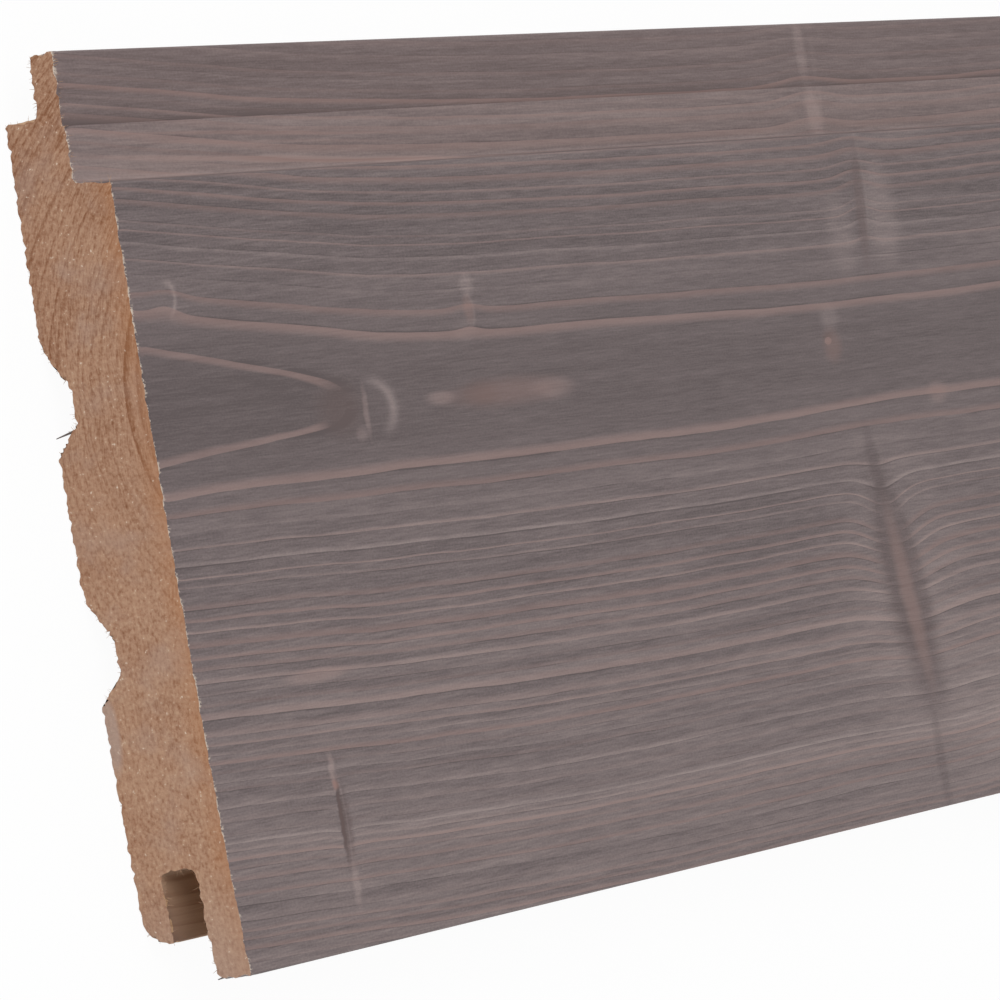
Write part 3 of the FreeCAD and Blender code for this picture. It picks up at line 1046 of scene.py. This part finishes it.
def stained_face(stretch, growth, marks, colours, saw_bow):
    """Planed spruce under a matt grey-brown translucent stain: dark spring wood, pale summer wood."""
    material, tree = new_material("stained_planed_spruce_" + stretch)
    grown = add(tree, "ShaderNodeGroup", node_tree=growth).outputs
    point = grown["Point"]
    parts = add(tree, "ShaderNodeSeparateXYZ", {0: point}).outputs
    chances = add(tree, "ShaderNodeSeparateXYZ", {0: grown["Chances"]}).outputs

    fibre = pattern(tree, point, (6, 0.3, 0.3), detail=2.0, roughness=0.65)["Fac"]
    # In streaks the wood drank more or less.
    streak = pattern(tree, point, (30, 1.4, 1.4), detail=2.0, roughness=0.5)["Color"]
    streaks = add(tree, "ShaderNodeSeparateXYZ", {0: streak}).outputs
    grain = pattern(tree, point, (0.5, 0.3, 0.3), detail=1.0, roughness=0.6)["Fac"]
    # X holds how pale the marks are, Y how warm and Z how brown.
    marked = face_marks(tree, point, streak, marks)

    # The stain lies thinner towards the groove, and wood close below the pith is darkest.
    tone = add(tree, "ShaderNodeMapRange",
               {"Value": parts["Y"], "From Min": -60.0, "From Max": 60.0, "To Min": 0.47,
                "To Max": 0.31}).outputs["Result"]
    dip = add(tree, "ShaderNodeMapRange",
              {"Value": grown["Flatness"], "From Min": 3.0, "From Max": 16.0, "To Min": -0.2,
               "To Max": 0.0}).outputs["Result"]
    tone = add(tree, "ShaderNodeMath", {0: tone, 1: dip}, operation="ADD").outputs[0]
    year_shift = add(tree, "ShaderNodeMapRange", {"Value": chances["Y"], "To Min": -0.1,
                                                  "To Max": 0.1}).outputs["Result"]
    tone = add(tree, "ShaderNodeMath", {0: tone, 1: year_shift}, operation="ADD").outputs[0]
    # Summer wood, fibres, streaks and grains swing the tone least close below the pith.
    calm = add(tree, "ShaderNodeMapRange",
               {"Value": grown["Flatness"], "From Min": 8.0, "From Max": 20.0, "To Min": 0.65,
                "To Max": 1.0}).outputs["Result"]
    # A year ends in pale summer wood: a thin line below the pith, half of the year beside it and again
    # far out. The ramp covers 40 mm and holds where in the year the summer wood begins.
    off_pith = add(tree, "ShaderNodeMath", {0: grown["Flatness"], 1: 1 / 40},
                   operation="MULTIPLY").outputs[0]
    late_from = add(tree, "ShaderNodeValToRGB", {"Fac": off_pith}, stops=[
        (0.09, 0.91), (1.0, 0.4), (0.3, 0.5), (0.36, 0.55), (0.45, 0.78),
        (0.75, 0.5)]).outputs["Color"]
    late = add(tree, "ShaderNodeMapRange", {"Value": grown["Year"], "From Min": late_from,
                                            "From Max": 0.95},
               interpolation_type="SMOOTHSTEP").outputs["Result"]
    # It is lost in the brown wood of a mark, and few years have much of it.
    clear = add(tree, "ShaderNodeMapRange", {"Value": marked["Z"], "From Max": 0.25, "To Min": 1.0,
                                             "To Max": 0.0}).outputs["Result"]
    late = add(tree, "ShaderNodeMath", {0: late, 1: clear}, operation="MULTIPLY").outputs[0]
    rare = add(tree, "ShaderNodeMath", {0: chances["X"], 1: 2.2}, operation="POWER").outputs[0]
    late_share = add(tree, "ShaderNodeMath", {0: rare, 1: streaks["Y"]},
                     operation="MULTIPLY").outputs[0]
    late_share = add(tree, "ShaderNodeMapRange",
                     {"Value": late_share, "From Max": 0.5, "To Min": 0.04,
                      "To Max": 0.52}).outputs["Result"]
    # The rings stand out less towards the tongue.
    quiet = add(tree, "ShaderNodeMapRange",
                {"Value": parts["Y"], "From Min": 14.0, "From Max": 28.0, "To Min": 1.0,
                 "To Max": 0.5}).outputs["Result"]
    for hush in (quiet, calm):
        late_share = add(tree, "ShaderNodeMath", {0: late_share, 1: hush},
                         operation="MULTIPLY").outputs[0]
    tone = add(tree, "ShaderNodeMath", {0: late, 1: late_share, 2: tone},
               operation="MULTIPLY_ADD").outputs[0]
    # A year begins with a thin dark line, broken into dashes by the streaks.
    line = add(tree, "ShaderNodeValToRGB", {"Fac": grown["Year"]}, stops=[
        (0.0, 1.0), (1.0, 0.8), (0.03, 0.7), (0.09, 0.0), (0.985, 0.0)]).outputs["Color"]
    dash = add(tree, "ShaderNodeMapRange",
               {"Value": streaks["X"], "From Min": 0.44, "From Max": 0.6, "To Min": -0.02,
                "To Max": -0.45}).outputs["Result"]
    dash = add(tree, "ShaderNodeMath", {0: dash, 1: quiet}, operation="MULTIPLY").outputs[0]
    tone = add(tree, "ShaderNodeMath", {0: line, 1: dash, 2: tone},
               operation="MULTIPLY_ADD").outputs[0]
    for source, half_range in ((fibre, 0.17), (streaks["Z"], 0.12), (grain, 0.1)):
        swing = add(tree, "ShaderNodeMapRange",
                    {"Value": source, "From Min": 0.3, "From Max": 0.7, "To Min": -half_range,
                     "To Max": half_range}).outputs["Result"]
        tone = add(tree, "ShaderNodeMath", {0: swing, 1: calm, 2: tone},
                   operation="MULTIPLY_ADD").outputs[0]
    # Painted shade darkens the corner past the tongue's step, and the stain lies thin on the rebate's
    # floor.
    step_corner_shade = add(tree, "ShaderNodeMapRange",
               {"Value": parts["Y"], "From Min": TONGUE_STEP, "From Max": TONGUE_STEP + 2.4,
                "To Min": -0.3, "To Max": 0.0}).outputs["Result"]
    past_step = add(tree, "ShaderNodeMath", {0: parts["Y"], 1: TONGUE_STEP},
                    operation="GREATER_THAN").outputs[0]
    tone = add(tree, "ShaderNodeMath", {0: step_corner_shade, 1: past_step, 2: tone},
               operation="MULTIPLY_ADD").outputs[0]
    before_step = add(tree, "ShaderNodeMath", {0: 1.0, 1: past_step},
                      operation="SUBTRACT").outputs[0]
    on_floor = add(tree, "ShaderNodeMath", {0: parts["Y"], 1: REBATE_FLOOR_FROM},
                   operation="GREATER_THAN").outputs[0]
    thin = add(tree, "ShaderNodeMath", {0: before_step, 1: on_floor},
               operation="MULTIPLY").outputs[0]
    tone = add(tree, "ShaderNodeMath", {0: thin, 1: 0.25, 2: tone},
               operation="MULTIPLY_ADD").outputs[0]
    # Only a mark can be paler than summer wood.
    tone = add(tree, "ShaderNodeMath", {0: tone, 1: 1.0}, operation="MINIMUM").outputs[0]
    tone = add(tree, "ShaderNodeMath", {0: tone, 1: marked["X"]}, operation="ADD").outputs[0]
    for share, shift in ((grown["Core"], -0.35), (grown["Rim"], 0.6)):
        tone = add(tree, "ShaderNodeMath", {0: share, 1: shift, 2: tone},
                   operation="MULTIPLY_ADD").outputs[0]

    to_early = add(tree, "ShaderNodeMapRange", {"Value": tone, "From Min": 0.0,
                                                "From Max": 0.3}).outputs["Result"]
    to_late = add(tree, "ShaderNodeMapRange", {"Value": tone, "From Min": 0.3, "From Max": 1.35,
                                               "To Min": 0.0, "To Max": 1.5}).outputs["Result"]
    colour = add(tree, "ShaderNodeMix", {"Factor": to_early, "A": (*colours.stain_line, 1),
                                         "B": (*colours.stain_early, 1)},
                 data_type="RGBA").outputs["Result"]
    colour = add(tree, "ShaderNodeMix", {"Factor": to_late, "A": colour,
                                         "B": (*colours.stain_late, 1)},
                 data_type="RGBA", clamp_factor=False).outputs["Result"]
    # Resin gives some years' summer wood and the knots a warm tint.
    warm = add(tree, "ShaderNodeMath", {0: late, 1: chances["Z"]}, operation="MULTIPLY").outputs[0]
    warm = add(tree, "ShaderNodeMath", {0: warm, 1: 0.5, 2: marked["Y"]},
               operation="MULTIPLY_ADD").outputs[0]
    warm = add(tree, "ShaderNodeMath", {0: on_floor, 1: 0.14, 2: warm}, operation="MULTIPLY_ADD",
               use_clamp=True).outputs[0]
    core = add(tree, "ShaderNodeMath", {0: grown["Core"], 1: 0.8, 2: marked["Z"]},
               operation="MULTIPLY_ADD", use_clamp=True).outputs[0]
    chance = add(tree, "ShaderNodeMath", {0: grain, 1: streaks["Z"]}, operation="MULTIPLY").outputs[0]
    torn = torn_stain(tree, parts, chance, saw_bow)
    coats = ((warm, colours.stain_warm), (core, colours.stain_knot), (torn, colours.end_speck))
    for share, coat in coats:
        colour = add(tree, "ShaderNodeMix", {"Factor": share, "A": colour, "B": (*coat, 1)},
                     data_type="RGBA").outputs["Result"]
    finish_wood(tree, colour, roughness=0.6, shine=0.35, relief=fibre, strength=0.4, depth=0.08 * MM)
    return material


def sawn_end(growth, colours):
    """Sawn end grain: dry open pores that scatter light, with darker rings of hard summer wood."""
    material, tree = new_material("sawn_spruce_end")
    grown = add(tree, "ShaderNodeGroup", node_tree=growth).outputs
    point = grown["Point"]
    parts = add(tree, "ShaderNodeSeparateXYZ", {0: point}).outputs
    chances = add(tree, "ShaderNodeSeparateXYZ", {0: grown["Chances"]}).outputs

    # Torn fibre ends: flecks that lie along the rings towards the tongue and along the saw's way
    # towards the groove, and crumbs.
    ring_place = add(tree, "ShaderNodeCombineXYZ", {"X": grown["Radius"],
                                                    "Y": grown["Round"]}).outputs["Vector"]
    ring_fleck = pattern(tree, ring_place, (0.4, 1.0, 1.0), detail=2.0, roughness=0.6)["Fac"]
    saw_fleck = pattern(tree, point, (1.0, 1.0, 0.4), detail=2.0, roughness=0.6)["Fac"]
    by_tongue = add(tree, "ShaderNodeMapRange", {"Value": parts["Y"], "From Min": -12.0,
                                                 "From Max": 12.0}).outputs["Result"]
    fleck = add(tree, "ShaderNodeMix", {"Factor": by_tongue, "A": saw_fleck,
                                        "B": ring_fleck}).outputs["Result"]
    crumb = pattern(tree, point, (0.5, 0.5, 0.5), detail=2.0, roughness=0.6)["Fac"]
    # Patches that the saw scorched, tore or left grey.
    patch = pattern(tree, point, (8, 8, 8), detail=3.0, roughness=0.55)["Color"]
    patches = add(tree, "ShaderNodeSeparateXYZ", {0: patch}).outputs

    late = add(tree, "ShaderNodeValToRGB", {"Fac": grown["Year"]}, stops=[
        (0.0, 0.4), (1.0, 0.7), (0.2, 0.0), (0.45, 0.15), (0.75, 0.7), (0.9, 1.0)]).outputs["Color"]
    strength = add(tree, "ShaderNodeMapRange", {"Value": chances["X"], "To Min": -0.1,
                                                "To Max": -0.36}).outputs["Result"]
    # The rings show clearest towards the tongue, and the wide ones at the inside more than the rest.
    clear = add(tree, "ShaderNodeMapRange",
                {"Value": parts["Y"], "From Min": -10.0, "From Max": 20.0, "To Min": 0.45,
                 "To Max": 1.0}).outputs["Result"]
    wide = add(tree, "ShaderNodeMapRange",
               {"Value": grown["Radius"], "From Min": 25.4, "From Max": 26.5, "To Min": 1.7,
                "To Max": 0.9}).outputs["Result"]
    for gain in (clear, wide):
        strength = add(tree, "ShaderNodeMath", {0: strength, 1: gain},
                       operation="MULTIPLY").outputs[0]
    dim = add(tree, "ShaderNodeMapRange", {"Value": parts["Y"], "From Min": -10.0, "From Max": 50.0,
                                           "To Min": 0.62, "To Max": 0.44}).outputs["Result"]
    tone = add(tree, "ShaderNodeMath", {0: late, 1: strength, 2: dim},
               operation="MULTIPLY_ADD").outputs[0]
    for source, gain in ((fleck, 1.2), (crumb, 1.1), (patches["X"], 0.5)):
        swing = add(tree, "ShaderNodeMath", {0: source, 1: 0.5}, operation="SUBTRACT").outputs[0]
        tone = add(tree, "ShaderNodeMath", {0: swing, 1: gain, 2: tone},
                   operation="MULTIPLY_ADD").outputs[0]
    to_wood = add(tree, "ShaderNodeMapRange", {"Value": tone, "From Min": 0.0,
                                               "From Max": 0.55}).outputs["Result"]
    to_light = add(tree, "ShaderNodeMapRange", {"Value": tone, "From Min": 0.55,
                                                "From Max": 1.1}).outputs["Result"]
    grey = add(tree, "ShaderNodeMapRange",
               {"Value": patches["Y"], "From Min": 0.5, "From Max": 0.68, "To Min": 0.0,
                "To Max": 0.3}).outputs["Result"]
    # On the near end a strip about 11 by 3 mm split off by the back's edge and left paler wood.
    half_width, half_height = 5.5, 1.5
    middle_across, middle_level = -27, 0.7
    strip = add(tree, "ShaderNodeVectorMath",
                {0: point, 1: (MM / BOARD_HIGH.x, 1 / half_width, 1 / half_height),
                 2: (1.0, -middle_across / half_width, -middle_level / half_height)},
                operation="MULTIPLY_ADD").outputs["Vector"]
    strip = add(tree, "ShaderNodeVectorMath", {0: strip}, operation="LENGTH").outputs["Value"]
    strip = add(tree, "ShaderNodeMapRange",
                {"Value": strip, "From Min": 1.1, "From Max": 0.7, "To Min": 0.0,
                 "To Max": 0.75}).outputs["Result"]
    # The lips beside the groove are paler too.
    lips = add(tree, "ShaderNodeMapRange",
               {"Value": parts["Y"], "From Min": -46.0, "From Max": -58.0, "To Min": 0.0,
                "To Max": 0.4}).outputs["Result"]
    for pale in (strip, lips):
        grey = add(tree, "ShaderNodeMath", {0: grey, 1: pale}, operation="MAXIMUM").outputs[0]
    # Heat from the saw browned the wood next to the face, least on the front lip.
    near_face = add(tree, "ShaderNodeMapRange", {"Value": parts["Z"], "From Min": 11.5,
                                                 "From Max": 15.0, "To Min": 0.0,
                                                 "To Max": 0.9}).outputs["Result"]
    off_lip = add(tree, "ShaderNodeMapRange",
                  {"Value": parts["Y"], "From Min": -58.0, "From Max": -42.0, "To Min": 0.35,
                   "To Max": 1.0}).outputs["Result"]
    scorch = near_face
    for share in (patches["Z"], off_lip):
        scorch = add(tree, "ShaderNodeMath", {0: scorch, 1: share}, operation="MULTIPLY").outputs[0]
    speck = add(tree, "ShaderNodeMapRange",
                {"Value": crumb, "From Min": 0.68, "From Max": 0.76, "To Min": 0.0,
                 "To Max": 0.8}).outputs["Result"]
    colour = (*colours.end_late, 1)
    coats = ((to_wood, colours.end_wood), (to_light, colours.end_fuzz), (grey, colours.end_grey),
             (scorch, colours.end_scorch), (speck, colours.end_speck))
    for share, coat in coats:
        colour = add(tree, "ShaderNodeMix", {"Factor": share, "A": colour, "B": (*coat, 1)},
                     data_type="RGBA").outputs["Result"]
    finish_wood(tree, colour, roughness=0.9, shine=0.2, relief=crumb, strength=0.5, depth=0.2 * MM)
    return material


def bare_planed(stretch, growth, colours):
    """Planed spruce without stain: pale spring wood and honey-brown summer wood, dry and matt."""
    material, tree = new_material("bare_planed_spruce_" + stretch)
    grown = add(tree, "ShaderNodeGroup", node_tree=growth).outputs
    parts = add(tree, "ShaderNodeSeparateXYZ", {0: grown["Point"]}).outputs
    chances = add(tree, "ShaderNodeSeparateXYZ", {0: grown["Chances"]}).outputs
    fibre = pattern(tree, grown["Point"], (9, 0.3, 0.3), detail=3.0, roughness=0.6)["Fac"]
    late = add(tree, "ShaderNodeValToRGB", {"Fac": grown["Year"]}, stops=[
        (0.0, 0.3), (1.0, 0.6), (0.1, 0.0), (0.5, 0.1), (0.8, 0.6), (0.94, 1.0)]).outputs["Color"]
    strength = add(tree, "ShaderNodeMapRange", {"Value": chances["X"], "To Min": 0.3,
                                                "To Max": 0.8}).outputs["Result"]
    late = add(tree, "ShaderNodeMath", {0: late, 1: strength}, operation="MULTIPLY").outputs[0]
    fibre_swing = add(tree, "ShaderNodeMapRange",
                      {"Value": fibre, "From Min": 0.3, "From Max": 0.7, "To Min": -0.12,
                       "To Max": 0.2}).outputs["Result"]
    tone = add(tree, "ShaderNodeMath", {0: late, 1: fibre_swing}, operation="ADD",
               use_clamp=True).outputs[0]
    core = add(tree, "ShaderNodeMath", {0: grown["Core"], 1: 0.9}, operation="MULTIPLY",
               use_clamp=True).outputs[0]
    # Painted shade in the groove, darkest at the end and thinning out over 9 mm, with a little stain
    # mist along the rest of the groove.
    from_middle = add(tree, "ShaderNodeMath", {0: parts["X"]}, operation="ABSOLUTE").outputs[0]
    end = BOARD_HIGH.x / MM
    end_shade = add(tree, "ShaderNodeMapRange",
                {"Value": from_middle, "From Min": end - 9.0, "From Max": end, "To Min": 0.18,
                 "To Max": 1.0}).outputs["Result"]
    mist_and_shade = add(tree, "ShaderNodeMapRange",
               {"Value": parts["Y"], "From Min": -56.0, "From Max": -44.5, "To Min": 1.0,
                "To Max": 0.5}).outputs["Result"]
    past_floor = add(tree, "ShaderNodeMath", {0: parts["Y"], 1: GROOVE_FROM},
                     operation="LESS_THAN").outputs[0]
    over_lip = add(tree, "ShaderNodeMath", {0: parts["Z"], 1: GROOVE_LEVEL},
                   operation="GREATER_THAN").outputs[0]
    for share in (end_shade, past_floor, over_lip):
        mist_and_shade = add(tree, "ShaderNodeMath", {0: mist_and_shade, 1: share}, operation="MULTIPLY").outputs[0]
    colour = (*colours.bare_wood, 1)
    coats = ((tone, colours.bare_late), (core, colours.bare_knot), (mist_and_shade, colours.groove_mist_and_shade))
    for share, coat in coats:
        colour = add(tree, "ShaderNodeMix", {"Factor": share, "A": colour, "B": (*coat, 1)},
                     data_type="RGBA").outputs["Result"]
    finish_wood(tree, colour, roughness=0.75, shine=0.5, relief=fibre, strength=0.4, depth=0.1 * MM)
    return material


def plain(name, colour, roughness):
    """A material of one colour all over."""
    material, tree = new_material(name)
    shader = add(tree, "ShaderNodeBsdfPrincipled", {"Base Color": (*colour, 1),
                                                    "Roughness": roughness})
    add(tree, "ShaderNodeOutputMaterial", {"Surface": shader.outputs["BSDF"]})
    return material


def seen_by_eye(tree):
    """One where the camera looks, straight or by a shiny or clear surface, and zero for other light."""
    path = add(tree, "ShaderNodeLightPath").outputs
    seen = path["Is Camera Ray"]
    for way in ("Is Glossy Ray", "Is Transmission Ray"):
        seen = add(tree, "ShaderNodeMath", {0: seen, 1: path[way]}, operation="MAXIMUM").outputs[0]
    return seen


def floor_material(colours):
    """Matt white floor: the camera sees mostly even white, with a share of the real shadow left."""
    material, tree = new_material("matt_white_floor")
    share = add(tree, "ShaderNodeMath", {0: seen_by_eye(tree), 1: FLOOR_WHITE},
                operation="MULTIPLY").outputs[0]
    matt = add(tree, "ShaderNodeBsdfDiffuse", {"Color": (*colours.floor, 1)}).outputs["BSDF"]
    white = add(tree, "ShaderNodeEmission", {"Color": (1, 1, 1, 1), "Strength": 1.0}).outputs[0]
    surface = add(tree, "ShaderNodeMixShader", {0: share, 1: matt, 2: white}).outputs[0]
    add(tree, "ShaderNodeOutputMaterial", {"Surface": surface})
    return material


# Stage

def make_camera(stage):
    """Camera before the near end, rolled so that the board's width stands upright."""
    data = bpy.data.cameras.new("camera")
    data.sensor_width = SENSOR_WIDTH
    data.lens = stage.lens
    data.clip_end = SIGHT
    camera = bpy.data.objects.new("camera", data)
    back = -Vector(stage.camera_aim).normalized()
    right = Vector(stage.camera_up).cross(back).normalized()
    turn = Matrix((right, back.cross(right), back)).transposed().to_4x4()
    place = Vector((BOARD_LOW.x - stage.camera_from_end, stage.camera_across, stage.camera_height))
    camera.matrix_world = Matrix.Translation(place) @ turn
    bpy.context.scene.collection.objects.link(camera)
    bpy.context.scene.camera = camera


def make_floor(stage, colours):
    """A floor just under the board, large enough to fill the picture from every side."""
    bm = bmesh.new()
    lowered = Matrix.Translation((0, 0, BOARD_LOW.z - FLOOR_GAP))
    bmesh.ops.create_grid(
        bm, x_segments=1, y_segments=1, size=stage.floor_size / 2, matrix=lowered)
    show(bm, "floor", [floor_material(colours)])


def make_light(stage):
    """Even light from all round and one broad soft lamp over the tongue side of the near end."""
    world = bpy.data.worlds.new("even_light")
    world.use_nodes = True
    tree = world.node_tree
    tree.nodes.clear()
    lit = add(tree, "ShaderNodeBackground", {"Color": (1, 1, 1, 1), "Strength": stage.sky_level})
    white = add(tree, "ShaderNodeBackground", {"Color": (1, 1, 1, 1), "Strength": 1.0})
    sky = add(tree, "ShaderNodeMixShader",
              {0: seen_by_eye(tree), 1: lit.outputs[0], 2: white.outputs[0]})
    add(tree, "ShaderNodeOutputWorld", {"Surface": sky.outputs[0]})
    bpy.context.scene.world = world
    data = bpy.data.lights.new("key", "AREA")
    data.shape = "DISK"
    data.size = LAMP_SIZE
    data.energy = stage.key_power
    lamp = bpy.data.objects.new("key", data)
    aim = Vector((BOARD_LOW.x, 0, 0))
    place = aim + Vector(stage.key_direction).normalized() * stage.key_distance
    turn = (place - aim).to_track_quat("Z", "Y").to_matrix().to_4x4()
    lamp.matrix_world = Matrix.Translation(place) @ turn
    lamp.visible_camera = False
    bpy.context.scene.collection.objects.link(lamp)
    bpy.context.scene.view_settings.view_transform = "Standard"


# Operators and panel

class BOARD_OT_timber(bpy.types.Operator):
    """Builds the board: the moulded section carried along the grain, with torn sawn ends"""

    bl_idname = "board.timber"
    bl_label = "Timber"

    def execute(self, context):
        scene = context.scene
        sizes = scene.board_section
        at = SectionPlaces(sizes)
        pitch = scene.board_ends.pitch
        bm = bmesh.new()
        run = bm.verts.layers.float.new("run")
        draw_section(bm, section_corners(sizes, at))
        cut_across(bm, spread(BOARD_LOW.y, BOARD_HIGH.y, pitch), (0, 1, 0))
        cut_across(bm, spread(BOARD_LOW.z, BOARD_HIGH.z, pitch), (0, 0, 1))
        whole_way = measure_outline(bm, run)
        carry_along(bm)
        cut_across(bm, length_stations(), (1, 0, 0))
        bm.normal_update()
        dress_faces(bm, sizes, at)
        lay_out(bm, run, whole_way)
        bm.verts.layers.float.remove(run)
        tear_ends(bm, scene.board_ends)
        bow_ends(bm, scene.board_ends)
        figure = scene.board_figure
        colours = scene.board_colours
        one_branch = branch_group()
        materials = [sawn_end(growth_group("clear", figure, one_branch, []), colours)]
        for name, end, branches, marks in STRETCHES:
            growth = growth_group(name, figure, one_branch, branches)
            materials.append(stained_face(name, growth, marks, colours, scene.board_ends.bow))
            materials.append(bare_planed(name, growth, colours))
        piece = show(bm, "timber", materials)
        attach(piece, "root")
        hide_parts("board")
        return {"FINISHED"}


class BOARD_OT_fibres(bpy.types.Operator):
    """Adds the torn fibres round both sawn ends and the splinters caught on the near one"""

    bl_idname = "board.fibres"
    bl_label = "Torn fibres"

    def execute(self, context):
        scene = context.scene
        sizes = scene.board_section
        section = bmesh.new()
        draw_section(section, section_corners(sizes, SectionPlaces(sizes)))
        bm = bmesh.new()
        tear = scene.board_ends.edge_tear
        add_fibres(bm, section, scene.board_fibres, tear, BOARD_LOW.x, 1)
        add_fibres(bm, section, scene.board_fibres, tear, BOARD_HIGH.x, -1)
        section.free()
        fibre_faces = len(bm.faces)
        for ends in SPLINTERS:
            root, tip = (Vector((BOARD_LOW.x + SPLINTER_DEPTH, y * MM, z * MM)) for y, z in ends)
            add_sliver(bm, root, tip, scene.board_fibres.splinter_radius)
        bow_ends(bm, scene.board_ends)
        for index, face in enumerate(bm.faces):
            face.material_index = index >= fibre_faces
        colours = scene.board_colours
        piece = show(bm, "torn_fibres", [
            plain("torn_spruce_fibre", colours.fibre, 0.9),
            plain("stained_spruce_splinter", colours.splinter, 0.7)])
        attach(piece, "root")
        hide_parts("board")
        return {"FINISHED"}


class BOARD_OT_stage(bpy.types.Operator):
    """Sets up the camera, the floor and the light"""

    bl_idname = "board.stage"
    bl_label = "Stage"

    def execute(self, context):
        stage = context.scene.board_stage
        make_camera(stage)
        make_floor(stage, context.scene.board_colours)
        make_light(stage)
        return {"FINISHED"}


class BOARD_PT_pieces(bpy.types.Panel):
    """Lists what can be built and the settings it is built from"""

    bl_idname = "BOARD_PT_pieces"
    bl_label = "Tongue and groove board"
    bl_space_type = "VIEW_3D"
    bl_region_type = "UI"
    bl_category = "Board"

    def draw(self, context):
        for operator in OPERATORS:
            self.layout.operator(operator.bl_idname)
        for name, group in SETTINGS.items():
            box = self.layout.box()
            box.label(text=group.__doc__)
            settings = getattr(context.scene, name)
            for prop in group.__annotations__:
                box.prop(settings, prop)


OPERATORS = [BOARD_OT_timber, BOARD_OT_fibres, BOARD_OT_stage]
CLASSES = [*SETTINGS.values(), *OPERATORS, BOARD_PT_pieces]


def register():
    """Registers the settings, operators and panel."""
    for cls in CLASSES:
        bpy.utils.register_class(cls)
    for name, group in SETTINGS.items():
        setattr(bpy.types.Scene, name, PointerProperty(type=group))


def unregister():
    """Takes the settings, operators and panel away again."""
    for name in SETTINGS:
        delattr(bpy.types.Scene, name)
    for cls in reversed(CLASSES):
        bpy.utils.unregister_class(cls)


def main():
    """Builds every piece and the stage."""
    register()
    bpy.ops.board.timber()
    bpy.ops.board.fibres()
    bpy.ops.board.stage()


if __name__ == "__main__":
    main()
